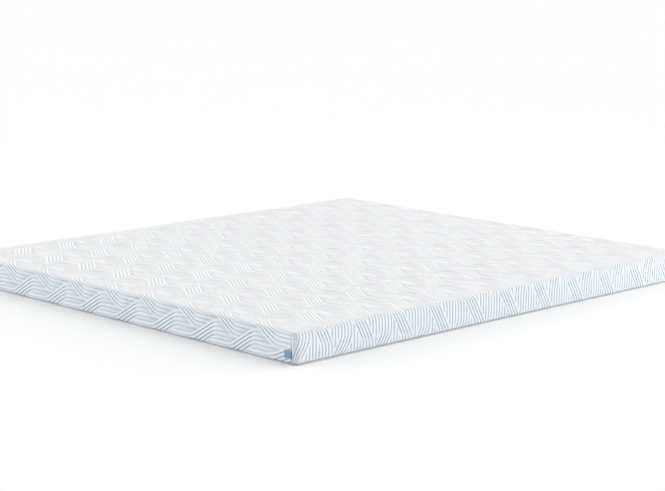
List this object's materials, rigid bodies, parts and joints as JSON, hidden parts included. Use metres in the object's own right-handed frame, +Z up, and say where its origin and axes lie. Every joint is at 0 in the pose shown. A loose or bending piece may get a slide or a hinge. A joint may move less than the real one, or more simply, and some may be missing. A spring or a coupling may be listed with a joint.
{
  "type": "mattress topper",
  "caption": "Low rectangular foam pad in a ribbed knit cover with rounded edges, a flat base cloth and a small sewn corner tab; lies on a mattress as a comfort layer.",
  "frame": {"origin": "middle of the underside, on the surface that the topper lies on", "axes": "+X along the long side, +Y along the short side, +Z up out of the lying surface; the corner with the tab is at -X, -Y"},
  "size_m": [2, 1.8, 0.107],
  "materials": {
    "cover": "matte ribbed knit, white over pale blue",
    "base": "matte close knit, grey",
    "tab": "woven tape, mid blue"
  },
  "bodies": {
    "root": {"topper_pad": "cover", "base_panel": "base", "corner_tab": "tab"}
  },
  "joints": []
}
